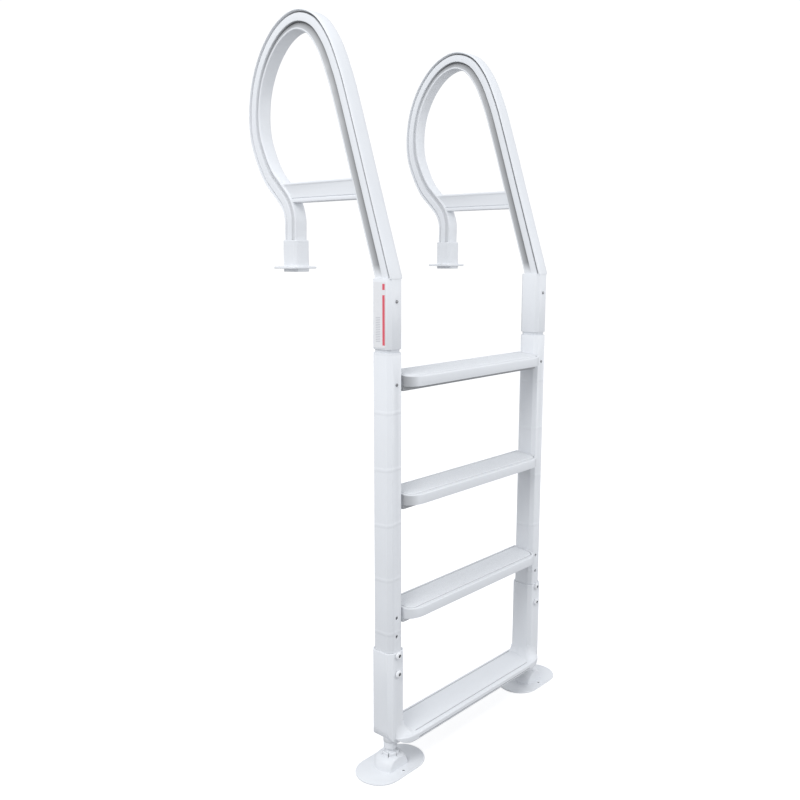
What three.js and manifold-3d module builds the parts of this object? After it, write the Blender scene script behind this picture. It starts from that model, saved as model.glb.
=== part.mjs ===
// In-pool deck ladder: two moulded handrail loops on straight legs, three treads between the legs,
// and a U-shaped lower frame that telescopes over the leg bottoms and stands on two ball-jointed feet.
// Millimetres. +X from the left leg to the right leg, +Y towards the deck, +Z up, floor at Z = 0.
import * as THREE from 'three';
import { mergeVertices } from 'three/addons/utils/BufferGeometryUtils.js';
import Module from 'manifold-3d';

const wasm = await Module();
wasm.setup();

// ---- driving dimensions ----
const LEG_SPACING = 640;
const LEG = { width: 53, depth: 63, chamfer: 10, wall: 3.5, bottom: 146, top: 1109 };
const ORIGIN_Y = 211.5;
const GAP = 0.3;
const SLIDE_GAP = 0.5;

const TREAD_RISE = 305;
const TREAD_COUNT = 3;
const TOP_TREAD_Z = 1049;
const TREAD = { front: -59, back: 31, skirt: 23, rise: 9, wall: 4, corner: [50, 30] };
const BEAM = { front: -29, depth: 38, wall: 5 };
const TENON = { depth: 38, height: 20, length: 34 };
const SCREW_BELOW_TREAD = 19;
const SCREW = { shank: 2.2, hole: 2.6, headRadius: 4.2, headHeight: 2.2, length: 20, slot: 0.6 };
const FLANGE_SCREW = {
  shank: 1.8, hole: 2.2, headRadius: 3.5, headHeight: 2, length: 3, slot: 0.5, below: 26,
};

const HOLE_PITCH = 50.8;
const LOWER_BOLT_Z = 270;
const BOLT = { radius: 4, clearance: 0.5, headRadius: 8, headHeight: 5, recess: 3.2, tail: 9 };
const NUT = { across: 15, height: 6.5 };

const FRAME = {
  wall: 3.4, top: 330, underside: 73, treadTop: 90, cavityFloor: 108,
  corner: 42, boss: 19, front: -61, rise: 12,
};
const NOSE = { end: 342, corner: [66, 26] };

const FOOT_Y = -8;
const FOOT = { length: 212, width: 128, plate: 4, flat: -31, holeY: -47, holeRadius: 3.5 };
const DOME = {
  radius: 45, rim: 8, top: 36, collarRadius: 22, collarTop: 45, slots: 6, slotWidth: 2.5, slotDepth: 10,
};
const BALL = { radius: 16, z: 37, gap: 0.4 };
const STEM = { neckRadius: 10.5, neckTop: 51, radius: 18, bottom: 54, plugRadius: 13, plugTop: 88 };

const SOCKET = { bottom: 1117, top: 1290, bore: 1252 };
const COUPLER = { bottom: 1066, top: 1246, wall: 3 };
const HANDRAIL_SCREW_Z = 1234;
const RAIL = { width: 44, depth: 51, chamfer: 4, slope: 0.3265, foot: 1307 };
const LOOP = { width: 40, depth: 46, chamfer: 5 };
const POST = { width: 40, depth: 44, chamfer: 5, y: 333, bottom: 1302 };
const CROSSBAR = { bottom: 1481, top: 1533, width: 36, chamfer: 4, start: 75 };
const FLANGE = { size: 82, plate: 6, underside: 1309, sleeveTop: 1384, wall: 5.5, corner: 4 };
const FLANGE_HOLE = { radius: 3, x: 31 };
const PLATE_SHIFT = 5;
const STICKER = { halfWidth: 19, thickness: 0.4, bottom: 1122, top: 1282 };

const WHITE = 0xdfe3e8;
const PLASTIC = { color: WHITE, roughness: 0.45, metalness: 0 };
const STEEL = { color: 0x8d9094, roughness: 0.35, metalness: 0.9 };
const PAPER = { color: 0xf4f4f2, roughness: 0.5, metalness: 0 };

const ladder = new THREE.Group();
const sides = { left: -1, right: 1 };

// ---- solids ----
function toSolid(geometry) {
  const bare = geometry.clone();
  bare.deleteAttribute('normal');
  bare.deleteAttribute('uv');
  const merged = mergeVertices(bare, 1e-3);
  return new wasm.Manifold(new wasm.Mesh({
    numProp: 3,
    vertProperties: new Float32Array(merged.attributes.position.array),
    triVerts: new Uint32Array(merged.index.array),
  }));
}

function toGeometry(solid) {
  const mesh = solid.getMesh();
  const geometry = new THREE.BufferGeometry();
  geometry.setAttribute('position', new THREE.BufferAttribute(mesh.vertProperties, 3));
  geometry.setIndex(new THREE.BufferAttribute(mesh.triVerts, 1));
  geometry.computeVertexNormals();
  return geometry;
}

function addPart(name, solid, look) {
  const mesh = new THREE.Mesh(toGeometry(solid), new THREE.MeshStandardMaterial(look));
  mesh.name = name;
  ladder.add(mesh);
}

function box(x, y, z) {
  const geometry = new THREE.BoxGeometry(x[1] - x[0], y[1] - y[0], z[1] - z[0]);
  geometry.translate((x[0] + x[1]) / 2, (y[0] + y[1]) / 2, (z[0] + z[1]) / 2);
  return toSolid(geometry);
}

// the corners of a rectangle whose four corners are cut at 45 degrees
function chamferedCorners(width, depth, chamfer) {
  const w = width / 2;
  const d = depth / 2;
  const c = chamfer;
  return [
    [w, -d + c], [w, d - c], [w - c, d], [-w + c, d],
    [-w, d - c], [-w, -d + c], [-w + c, -d], [w - c, -d],
  ];
}

function shapeOf(points) {
  return new THREE.Shape(points.map(([x, y]) => new THREE.Vector2(x, y)));
}

// a shape drawn in X and Y, raised from one height to another
function raised(shape, bottom, top, curveSegments = 10) {
  const settings = { depth: top - bottom, bevelEnabled: false, curveSegments };
  const geometry = new THREE.ExtrudeGeometry(shape, settings);
  geometry.translate(0, 0, bottom);
  return toSolid(geometry);
}

function chamferedPrism(width, depth, chamfer, bottom, top) {
  return raised(shapeOf(chamferedCorners(width, depth, chamfer)), bottom, top);
}

// a shape drawn in X and Z, running along Y
function alongY(shape, from, to, curveSegments = 10) {
  const geometry = new THREE.ExtrudeGeometry(shape, { depth: to - from, bevelEnabled: false, curveSegments });
  geometry.rotateX(Math.PI / 2);
  geometry.translate(0, to, 0);
  return toSolid(geometry);
}

function cylinderY(radius, from, to, x, z, segments = 20) {
  const geometry = new THREE.CylinderGeometry(radius, radius, to - from, segments);
  geometry.translate(x, (from + to) / 2, z);
  return toSolid(geometry);
}

// an upright cutter, 40 mm tall, for holes through a plate or floor
function cylinderZ(radius, x, y, z, segments = 16) {
  const geometry = new THREE.CylinderGeometry(radius, radius, 40, segments);
  geometry.rotateX(Math.PI / 2);
  geometry.translate(x, y, z);
  return toSolid(geometry);
}

function turned(profile, segments = 24) {
  const geometry = new THREE.LatheGeometry(profile.map(([r, z]) => new THREE.Vector2(r, z)), segments);
  geometry.rotateX(Math.PI / 2);
  return toSolid(geometry);
}

// a closed tube of chamfered rectangles strung along stations { y, z, angle, width, depth, chamfer }
function loftInYZ(stations) {
  const positions = [];
  const indices = [];
  for (const s of stations) {
    const across = [Math.cos(s.angle), -Math.sin(s.angle)];
    for (const [u, v] of chamferedCorners(s.width, s.depth, s.chamfer)) {
      positions.push(u, s.y + v * across[0], s.z + v * across[1]);
    }
  }
  const count = 8;
  const last = (stations.length - 1) * count;
  for (let i = 0; i < stations.length - 1; i++) {
    for (let j = 0; j < count; j++) {
      const a = i * count + j;
      const b = i * count + (j + 1) % count;
      indices.push(a, b, b + count, a, b + count, a + count);
    }
  }
  for (let j = 1; j < count - 1; j++) {
    indices.push(0, j + 1, j);
    indices.push(last, last + j, last + j + 1);
  }
  const geometry = new THREE.BufferGeometry();
  geometry.setAttribute('position', new THREE.Float32BufferAttribute(positions, 3));
  geometry.setIndex(indices);
  return toSolid(geometry);
}

// ---- handrail: socket, slanted front rail, loop, deck post and crossbar ----
const mix = (a, b, t) => a + (b - a) * THREE.MathUtils.clamp(t, 0, 1);
const mixSection = (a, b, t) => ({
  width: mix(a.width, b.width, t), depth: mix(a.depth, b.depth, t), chamfer: mix(a.chamfer, b.chamfer, t),
});

// [y, z] on the middle line of the slanted rail
const onRail = (z) => [RAIL.slope * (z - RAIL.foot), z];

function railPath() {
  const points = [
    onRail(1326), onRail(1506), onRail(1713), [159, 1786], [198, 1864], [243, 1913], [300, 1931], [360, 1914],
    [416, 1866], [455, 1799], [471, 1728], [468, 1661], [447, 1603], [416, 1551], [378, 1513], [347, 1478],
    [POST.y, 1441], [POST.y, 1396], [POST.y, POST.bottom],
  ];
  return new THREE.CatmullRomCurve3(points.map(([y, z]) => new THREE.Vector3(0, y, z)), false, 'centripetal');
}

// the rail tapers over the top of the loop, and again where it runs down into the deck post
function railSection(distance, length) {
  const loop = mixSection(RAIL, LOOP, (distance - 640) / 300);
  return mixSection(loop, POST, (distance - length + 260) / 120);
}

// the rail's start inside the socket, mitred so that both front faces meet in a sharp kink
function railStart() {
  const lean = Math.atan(RAIL.slope);
  const kink = RAIL.foot + (RAIL.depth / 2 / Math.cos(lean) - LEG.depth / 2) / RAIL.slope;
  const y = (RAIL.depth - LEG.depth) / 2;
  const mitre = { ...RAIL, depth: RAIL.depth / Math.cos(lean / 2) };
  return [
    { y, z: SOCKET.bore + 4, angle: 0, ...RAIL },
    { y, z: kink - RAIL.depth / 2 * Math.tan(lean / 2), angle: lean / 2, ...mitre },
  ];
}

function handrail() {
  const path = railPath();
  const length = path.getLength();
  const steps = 68;
  const stations = railStart();
  for (let i = 0; i <= steps; i++) {
    const point = path.getPointAt(i / steps);
    const tangent = path.getTangentAt(i / steps);
    const angle = i === steps ? Math.PI : Math.atan2(tangent.y, tangent.z);
    stations.push({ y: point.y, z: point.z, angle, ...railSection(length * i / steps, length) });
  }
  const socket = chamferedPrism(LEG.width, LEG.depth, LEG.chamfer, SOCKET.bottom, SOCKET.top);
  const bar = chamferedCorners(CROSSBAR.width, CROSSBAR.top - CROSSBAR.bottom, CROSSBAR.chamfer);
  const middle = (CROSSBAR.top + CROSSBAR.bottom) / 2;
  const crossbar = alongY(shapeOf(bar), CROSSBAR.start, POST.y + 10).translate([0, 0, middle]);
  const bore = chamferedPrism(
    LEG.width - 2 * LEG.wall, LEG.depth - 2 * LEG.wall, LEG.chamfer - 2, SOCKET.bottom - 1, SOCKET.bore);
  const screwHole = cylinderY(SCREW.hole, -LEG.depth, 0, 0, HANDRAIL_SCREW_Z);
  return loftInYZ(stations).add(socket).add(crossbar).subtract(bore).subtract(screwHole);
}

function coupler() {
  const width = LEG.width - 2 * LEG.wall - 2 * SLIDE_GAP;
  const depth = LEG.depth - 2 * LEG.wall - 2 * SLIDE_GAP;
  const outside = chamferedPrism(width, depth, LEG.chamfer - 2, COUPLER.bottom, COUPLER.top);
  const inside = chamferedPrism(
    width - 2 * COUPLER.wall, depth - 2 * COUPLER.wall, LEG.chamfer - 4, COUPLER.bottom - 1, COUPLER.top + 1);
  const screwHole = cylinderY(SCREW.hole, -LEG.depth, 0, 0, HANDRAIL_SCREW_Z);
  return outside.subtract(inside).subtract(screwHole);
}

function roundedSquare(size, corner) {
  const h = size / 2;
  const shape = new THREE.Shape();
  shape.moveTo(h - corner, -h);
  shape.absarc(h - corner, -h + corner, corner, -Math.PI / 2, 0);
  shape.absarc(h - corner, h - corner, corner, 0, Math.PI / 2);
  shape.absarc(-h + corner, h - corner, corner, Math.PI / 2, Math.PI);
  shape.absarc(-h + corner, -h + corner, corner, Math.PI, Math.PI * 1.5);
  return shape;
}

// plate and sleeve around the deck post, with the sleeve's end standing a little below the plate
function deckFlange() {
  const wide = POST.width + 2 * SLIDE_GAP;
  const deep = POST.depth + 2 * SLIDE_GAP;
  const square = roundedSquare(FLANGE.size, FLANGE.corner);
  const plate = raised(square, FLANGE.underside, FLANGE.underside + FLANGE.plate, 4);
  const sleeve = chamferedPrism(
    wide + 2 * FLANGE.wall, deep + 2 * FLANGE.wall, POST.chamfer + 2, POST.bottom - 1, FLANGE.sleeveTop);
  const bore = chamferedPrism(wide, deep, POST.chamfer, POST.bottom - 2, FLANGE.sleeveTop + 1);
  let flange = plate.translate([0, PLATE_SHIFT, 0]).add(sleeve).subtract(bore);
  for (const x of [-FLANGE_HOLE.x, FLANGE_HOLE.x]) {
    flange = flange.subtract(cylinderZ(FLANGE_HOLE.radius, x, PLATE_SHIFT, FLANGE.underside));
  }
  const pilot = cylinderY(FLANGE_SCREW.hole, 0, 60, 0, FLANGE.sleeveTop - FLANGE_SCREW.below);
  return flange.subtract(pilot).translate([0, POST.y, 0]);
}

// a pan-head screw whose head rests on a face at Y = face; inward is +1 when it points to +Y
function panScrew(face, inward, screw) {
  const stem = [face - inward * 0.6, face + inward * screw.length].sort((a, b) => a - b);
  const near = face - inward * GAP;
  const far = near - inward * screw.headHeight;
  const cap = [near, far].sort((a, b) => a - b);
  const recess = [far - inward, far + inward * 1.2].sort((a, b) => a - b);
  const arm = screw.headRadius * 0.58;
  return cylinderY(screw.shank, ...stem, 0, 0, 8)
    .add(cylinderY(screw.headRadius, ...cap, 0, 0, 16))
    .subtract(box([-arm, arm], recess, [-screw.slot, screw.slot]))
    .subtract(box([-screw.slot, screw.slot], recess, [-arm, arm]));
}

// ---- legs ----
function treadTop(index) {
  return TOP_TREAD_Z - TREAD_RISE * index;
}

function leg(side) {
  const outside = chamferedPrism(LEG.width, LEG.depth, LEG.chamfer, LEG.bottom, LEG.top);
  const inside = chamferedPrism(
    LEG.width - 2 * LEG.wall, LEG.depth - 2 * LEG.wall, LEG.chamfer - 2, LEG.bottom - 1, LEG.top + 1);
  let tube = outside.subtract(inside);
  for (let i = 0; i < TREAD_COUNT; i++) {
    const z = treadTop(i) - SCREW_BELOW_TREAD;
    const inner = side > 0 ? [-LEG.width, 0] : [0, LEG.width];
    const halfDepth = TENON.depth / 2 + GAP;
    const halfHeight = TENON.height / 2 + GAP;
    tube = tube.subtract(box(inner, [-halfDepth, halfDepth], [z - halfHeight, z + halfHeight]));
    const front = i === 0 || i === TREAD_COUNT - 1 ? -LEG.depth : 0;
    tube = tube.subtract(cylinderY(SCREW.hole, front, i === 0 ? 0 : LEG.depth, 0, z));
  }
  // the open adjusting hole above the sleeve, and the slot that the frame bolts run in inside it
  const hole = BOLT.radius + BOLT.clearance;
  tube = tube.subtract(cylinderY(hole, -LEG.depth, LEG.depth, 0, LOWER_BOLT_Z + 2 * HOLE_PITCH));
  const slotTop = LOWER_BOLT_Z + HOLE_PITCH + BOLT.radius + 1;
  return tube.subtract(box([-hole, hole], [-LEG.depth, LEG.depth], [LEG.bottom + 12, slotTop]));
}

// ---- treads ----
const innerFace = (LEG_SPACING - LEG.width) / 2 - GAP;

// a tread seen from above, its front corners cut back along quarter ellipses
function treadOutline(halfLength, front, back, corner) {
  const [rx, ry] = corner;
  const shape = new THREE.Shape();
  shape.moveTo(-halfLength + rx, front);
  shape.lineTo(halfLength - rx, front);
  shape.absellipse(halfLength - rx, front + ry, rx, ry, -Math.PI / 2, 0);
  shape.lineTo(halfLength, back);
  shape.lineTo(-halfLength, back);
  shape.absellipse(-halfLength + rx, front + ry, rx, ry, Math.PI, Math.PI * 1.5);
  return shape;
}

// the wedge above the tread's top surface, which falls towards the front edge
function aboveTread(front, back, z, rise) {
  const geometry = new THREE.BoxGeometry(2 * LEG_SPACING, 400, 200);
  geometry.translate(0, 0, 100);
  geometry.rotateX(Math.atan2(rise, back - front));
  geometry.translate(0, front, z);
  return toSolid(geometry);
}

// cavities in a tread's underside, with ribs between them
function bays(count, span, y, z) {
  const pitch = span / count;
  const cut = (i) => box([-span / 2 + i * pitch + 2, -span / 2 + (i + 1) * pitch - 2], y, z);
  return Array.from({ length: count }, (_, i) => cut(i));
}

// a shallow nose in front of a deeper beam that is as wide as the legs are deep
function tread() {
  const outline = treadOutline(innerFace, TREAD.front, TREAD.back, TREAD.corner);
  const nose = raised(outline, -TREAD.skirt, TREAD.rise + 5);
  const beam = box([-innerFace, innerFace], [BEAM.front, TREAD.back], [-BEAM.depth, -TREAD.skirt + 1]);
  let step = nose.add(beam).subtract(aboveTread(TREAD.front, TREAD.back, 0, TREAD.rise));
  const inside = [BEAM.front + BEAM.wall, TREAD.back - BEAM.wall];
  for (const cut of bays(4, 2 * (innerFace - 40), inside, [-BEAM.depth - 1, -TREAD.wall - 1])) {
    step = step.subtract(cut);
  }
  const underNose = [TREAD.front + BEAM.wall, BEAM.front - TREAD.wall];
  for (const cut of bays(4, 2 * (innerFace - 60), underNose, [-TREAD.skirt - 1, -TREAD.wall - 1])) {
    step = step.subtract(cut);
  }
  for (const side of [-1, 1]) {
    const reach = [side * (innerFace - 1), side * (innerFace + TENON.length)];
    const x = side > 0 ? reach : reach.reverse();
    const z = -SCREW_BELOW_TREAD;
    const tenon = box(x, [-TENON.depth / 2, TENON.depth / 2], [z - TENON.height / 2, z + TENON.height / 2]);
    step = step.add(tenon).subtract(cylinderY(SCREW.hole, -LEG.depth, LEG.depth, side * LEG_SPACING / 2, z));
  }
  return step;
}

// ---- lower frame ----
const sleeveWidth = LEG.width + 2 * (SLIDE_GAP + FRAME.wall);
const sleeveDepth = LEG.depth + 2 * (SLIDE_GAP + FRAME.wall);

// the frame's front view: straight sides, with the outer corners rounded at the bottom
function frameEnvelope() {
  const outerX = LEG_SPACING / 2 + sleeveWidth / 2;
  const mask = new THREE.Shape();
  mask.moveTo(-outerX + FRAME.corner, FRAME.underside);
  mask.lineTo(outerX - FRAME.corner, FRAME.underside);
  mask.absarc(outerX - FRAME.corner, FRAME.underside + FRAME.corner, FRAME.corner, -Math.PI / 2, 0);
  mask.lineTo(outerX, FRAME.top);
  mask.lineTo(-outerX, FRAME.top);
  mask.absarc(-outerX + FRAME.corner, FRAME.underside + FRAME.corner, FRAME.corner, Math.PI, Math.PI * 1.5);
  return alongY(mask, -200, 200);
}

function lowerFrame() {
  const back = sleeveDepth / 2;
  const outline = treadOutline(NOSE.end, FRAME.front, back, NOSE.corner);
  let frame = raised(outline, FRAME.underside, FRAME.treadTop + FRAME.rise + 4)
    .subtract(aboveTread(FRAME.front, back, FRAME.treadTop, FRAME.rise));
  const sleeve = chamferedPrism(sleeveWidth, sleeveDepth, LEG.chamfer + 1, FRAME.underside, FRAME.top);
  for (const side of [-1, 1]) {
    frame = frame.add(sleeve.translate([side * LEG_SPACING / 2, 0, 0]));
  }
  frame = frame.intersect(frameEnvelope());
  const boss = turned([
    [0, FRAME.underside], [FRAME.boss, FRAME.underside],
    [FRAME.boss, FRAME.cavityFloor], [0, FRAME.cavityFloor],
  ]);
  for (const side of [-1, 1]) {
    frame = frame.add(boss.translate([side * LEG_SPACING / 2, FOOT_Y, 0]));
  }
  const cavity = chamferedPrism(
    LEG.width + 2 * SLIDE_GAP, LEG.depth + 2 * SLIDE_GAP, LEG.chamfer, FRAME.cavityFloor, FRAME.top + 1);
  for (const side of [-1, 1]) {
    const x = side * LEG_SPACING / 2;
    frame = frame.subtract(cavity.translate([x, 0, 0]));
    for (const z of [LOWER_BOLT_Z, LOWER_BOLT_Z + HOLE_PITCH]) {
      frame = frame.subtract(cylinderY(BOLT.radius + BOLT.clearance, -100, 100, x, z));
    }
    frame = frame.subtract(cylinderZ(STEM.plugRadius + GAP, x, FOOT_Y, FRAME.underside, 32));
  }
  const depth = [FRAME.front + 9, back - 8];
  for (const cut of bays(3, LEG_SPACING - sleeveWidth - 70, depth, [0, FRAME.treadTop - 5])) {
    frame = frame.subtract(cut);
  }
  return frame;
}

function frameBolt() {
  const face = -sleeveDepth / 2;
  const shank = cylinderY(BOLT.radius, face - 1, -face + BOLT.tail, 0, 0);
  const head = cylinderY(BOLT.headRadius, face - GAP - BOLT.headHeight, face - GAP, 0, 0, 28);
  const recess = cylinderY(BOLT.recess, face - BOLT.headHeight - 2, face - BOLT.headHeight + 2.5, 0, 0, 6);
  return shank.add(head).subtract(recess);
}

function frameNut() {
  const face = sleeveDepth / 2 + GAP;
  const radius = NUT.across / 2 / Math.cos(Math.PI / 6);
  return cylinderY(radius, face, face + NUT.height, 0, 0, 6)
    .subtract(cylinderY(BOLT.radius + GAP, face - 1, face + NUT.height + 1, 0, 0));
}

// ---- feet ----
function footStem() {
  const profile = [[0, BALL.z - BALL.radius]];
  const start = -Math.PI / 2;
  const end = Math.acos(STEM.neckRadius / BALL.radius);
  const steps = 8;
  for (let i = 1; i <= steps; i++) {
    const a = start + (end - start) * i / steps;
    profile.push([BALL.radius * Math.cos(a), BALL.z + BALL.radius * Math.sin(a)]);
  }
  const shoulder = FRAME.underside - GAP;
  profile.push([STEM.neckRadius, STEM.neckTop], [STEM.radius, STEM.bottom], [STEM.radius, shoulder]);
  profile.push([STEM.plugRadius, shoulder], [STEM.plugRadius, STEM.plugTop], [0, STEM.plugTop]);
  return turned(profile);
}

function footDome() {
  const profile = [[0, 0.5], [DOME.radius, 0.5], [DOME.radius, DOME.rim]];
  const rings = 6;
  for (let i = 1; i <= rings; i++) {
    const a = Math.PI / 2 * i / rings;
    const r = DOME.collarRadius + (DOME.radius - DOME.collarRadius) * Math.cos(a);
    profile.push([r, DOME.rim + (DOME.top - DOME.rim) * Math.sin(a)]);
  }
  profile.push([DOME.collarRadius, DOME.collarTop], [0, DOME.collarTop]);
  return turned(profile).subtract(box([-100, 100], [-100, FOOT.flat], [FOOT.plate, 100]));
}

function footPad() {
  const half = (FOOT.length - FOOT.width) / 2;
  const outline = new THREE.Shape();
  outline.absarc(half, 0, FOOT.width / 2, -Math.PI / 2, Math.PI / 2);
  outline.absarc(-half, 0, FOOT.width / 2, Math.PI / 2, Math.PI * 1.5);
  const socket = new THREE.SphereGeometry(BALL.radius + BALL.gap, 24, 12);
  socket.translate(0, 0, BALL.z);
  let pad = footDome().add(raised(outline, 0, FOOT.plate, 14));
  pad = pad.subtract(toSolid(socket)).subtract(cylinderZ(FOOT.holeRadius, 0, FOOT.holeY, 0));
  for (let i = 0; i < DOME.slots; i++) {
    const cut = new THREE.BoxGeometry(30, DOME.slotWidth, 2 * DOME.slotDepth);
    cut.translate(22, 0, DOME.collarTop);
    cut.rotateZ(Math.PI * 2 * (i + 0.5) / DOME.slots);
    pad = pad.subtract(toSolid(cut));
  }
  return pad;
}

// ---- sticker on the outer face of the left handrail's socket ----
function sticker() {
  const face = -LEG_SPACING / 2 - LEG.width / 2 - GAP;
  const y = [-STICKER.halfWidth, STICKER.halfWidth];
  return box([face - STICKER.thickness, face], y, [STICKER.bottom, STICKER.top]);
}

// ---- assembly ----
for (const [name, side] of Object.entries(sides)) {
  const x = side * LEG_SPACING / 2;
  addPart(`${name}_handrail`, handrail().translate([x, 0, 0]), PLASTIC);
  addPart(`${name}_deck_flange`, deckFlange().translate([x, 0, 0]), PLASTIC);
  const flangeFace = POST.y + POST.depth / 2 + SLIDE_GAP + FLANGE.wall;
  const flangeScrew = panScrew(flangeFace, -1, FLANGE_SCREW);
  const flangeScrewZ = FLANGE.sleeveTop - FLANGE_SCREW.below;
  addPart(`${name}_flange_screw`, flangeScrew.translate([x, 0, flangeScrewZ]), STEEL);
  addPart(`${name}_coupler`, coupler().translate([x, 0, 0]), PLASTIC);
  const screw = panScrew(-LEG.depth / 2, 1, SCREW);
  addPart(`${name}_handrail_screw`, screw.translate([x, 0, HANDRAIL_SCREW_Z]), STEEL);
  addPart(`${name}_leg`, leg(side).translate([x, 0, 0]), PLASTIC);
  for (let i = 0; i < TREAD_COUNT; i++) {
    const inward = i === 0 ? 1 : -1;
    const treadScrew = panScrew(-inward * LEG.depth / 2, inward, SCREW);
    const z = treadTop(i) - SCREW_BELOW_TREAD;
    addPart(`${name}_tread_${i + 1}_screw`, treadScrew.translate([x, 0, z]), STEEL);
  }
  for (const [place, z] of [['lower', LOWER_BOLT_Z], ['upper', LOWER_BOLT_Z + HOLE_PITCH]]) {
    addPart(`${name}_${place}_frame_bolt`, frameBolt().translate([x, 0, z]), PLASTIC);
    addPart(`${name}_${place}_frame_nut`, frameNut().translate([x, 0, z]), PLASTIC);
  }
  addPart(`${name}_foot_stem`, footStem().translate([x, FOOT_Y, 0]), PLASTIC);
  addPart(`${name}_foot_pad`, footPad().translate([x, FOOT_Y, 0]), PLASTIC);
}
for (let i = 0; i < TREAD_COUNT; i++) {
  addPart(`tread_${i + 1}`, tread().translate([0, 0, treadTop(i)]), PLASTIC);
}
addPart('lower_frame', lowerFrame(), PLASTIC);
addPart('sticker', sticker(), PAPER);

// the origin is under the middle of the whole ladder's footprint
ladder.position.y = -ORIGIN_Y;

export default ladder;
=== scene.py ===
"""Looks for the in-pool deck ladder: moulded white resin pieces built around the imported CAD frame."""
import math

import bmesh
import bpy
from mathutils import Matrix, Vector


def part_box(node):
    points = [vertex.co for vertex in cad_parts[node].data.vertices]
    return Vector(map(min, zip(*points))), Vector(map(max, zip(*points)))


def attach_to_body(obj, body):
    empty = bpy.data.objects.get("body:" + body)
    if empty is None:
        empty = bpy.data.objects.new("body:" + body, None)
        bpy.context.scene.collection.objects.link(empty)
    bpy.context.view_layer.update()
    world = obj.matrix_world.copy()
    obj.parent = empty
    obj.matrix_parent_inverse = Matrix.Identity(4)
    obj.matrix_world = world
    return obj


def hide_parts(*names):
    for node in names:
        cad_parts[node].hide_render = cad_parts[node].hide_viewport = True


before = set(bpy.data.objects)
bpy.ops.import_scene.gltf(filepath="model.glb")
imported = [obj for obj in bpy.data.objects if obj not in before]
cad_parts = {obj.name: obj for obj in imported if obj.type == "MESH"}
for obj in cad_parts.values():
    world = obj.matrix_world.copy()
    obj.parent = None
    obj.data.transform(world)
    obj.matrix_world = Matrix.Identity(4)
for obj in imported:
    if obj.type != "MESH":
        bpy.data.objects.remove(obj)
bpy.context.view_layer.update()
MM = 0.001
SIDES = {"left": -1, "right": 1}


# ---- places and sizes taken from the frame, in millimetres ----
def box_mm(node):
    low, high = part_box(node)
    return low / MM, high / MM


def middle(node):
    low, high = box_mm(node)
    return (low + high) / 2


LEG_LOW, LEG_HIGH = box_mm("left_leg")
SOCKET_LOW = box_mm("left_handrail")[0]
COUPLER_LOW, COUPLER_HIGH = box_mm("left_coupler")
FLANGE_LOW, FLANGE_HIGH = box_mm("left_deck_flange")
FRAME_LOW, FRAME_HIGH = box_mm("lower_frame")
PAD_LOW, PAD_HIGH = box_mm("left_foot_pad")
LEG_Y = middle("left_leg").y
LEG_X = middle("right_leg").x
LEG_WIDTH = LEG_HIGH.x - LEG_LOW.x
LEG_DEPTH = LEG_HIGH.y - LEG_LOW.y
LEG_CHAMFER = 10
LEG_WALL = 3.5
FOOT_Y = middle("left_foot_pad").y

# the handrail's side view, measured from the leg's axis in Y and from the floor in Z
SOCKET_TOP = 1290
SOCKET_BORE = 1252
RAIL_SLOPE = 0.3265
RAIL_FOOT = 1307
POST_Y = 333
POST_BOTTOM = 1302
RAIL = {"width": 44, "depth": 51, "relief": 1.0}
LOOP = {"width": 40, "depth": 46, "relief": 1.0}
POST = {"width": 40, "depth": 44, "relief": 0.45}
CROSSBAR = {"bottom": 1481, "top": 1533, "width": 36}


# ---- mesh tools ----
def piece(name, mesh):
    obj = bpy.data.objects.new(name, mesh)
    bpy.context.scene.collection.objects.link(obj)
    return obj


def mesh_from(name, points, faces):
    mesh = bpy.data.meshes.new(name)
    mesh.from_pydata([Vector(p) * MM for p in points], [], faces)
    work = bmesh.new()
    work.from_mesh(mesh)
    bmesh.ops.recalc_face_normals(work, faces=work.faces)
    work.to_mesh(mesh)
    work.free()
    return mesh


def loft(name, loops, closed=False):
    """A solid skin over loops of points; closed joins the last loop to the first, as for a tube's wall."""
    count = len(loops[0])
    points = [p for loop in loops for p in loop]
    faces = []
    rows = len(loops) if closed else len(loops) - 1
    for row in range(rows):
        a, b = row * count, (row + 1) % len(loops) * count
        for i in range(count):
            j = (i + 1) % count
            faces.append((a + i, a + j, b + j, b + i))
    if not closed:
        faces.append(tuple(range(count)))
        faces.append(tuple(range(len(points) - count, len(points))))
    return piece(name, mesh_from(name, points, faces))


def lathe(name, profile, at, segments=48):
    """A turned solid; profile runs from the axis back to the axis as (radius, height)."""
    x, y = at
    points = [(x, y, profile[0][1])]
    ring = []
    for radius, z in profile[1:-1]:
        for i in range(segments):
            turn = 2 * math.pi * i / segments
            points.append((x + radius * math.cos(turn), y + radius * math.sin(turn), z))
        ring.append(len(points) - segments)
    points.append((x, y, profile[-1][1]))
    last = len(points) - 1
    faces = []
    for i in range(segments):
        j = (i + 1) % segments
        faces.append((0, ring[0] + j, ring[0] + i))
        faces.append((last, ring[-1] + i, ring[-1] + j))
        for a, b in zip(ring, ring[1:]):
            faces.append((a + i, a + j, b + j, b + i))
    return piece(name, mesh_from(name, points, faces))


def block(low, high, name="block"):
    points = [(x, y, z) for x in (low[0], high[0]) for y in (low[1], high[1]) for z in (low[2], high[2])]
    faces = [(0, 1, 3, 2), (4, 6, 7, 5), (0, 4, 5, 1), (2, 3, 7, 6), (0, 2, 6, 4), (1, 5, 7, 3)]
    return piece(name, mesh_from(name, points, faces))


def rod(radius, start, end, segments=32):
    """A plain cylinder between two points, used as a cutter or a shank."""
    a, b = Vector(start), Vector(end)
    turn = (b - a).to_track_quat("Z", "Y")
    loops = []
    for centre in (a, b):
        ring = []
        for i in range(segments):
            angle = 2 * math.pi * i / segments
            ring.append(centre + turn @ Vector((radius * math.cos(angle), radius * math.sin(angle), 0)))
        loops.append(ring)
    return loft("rod", loops)


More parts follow.
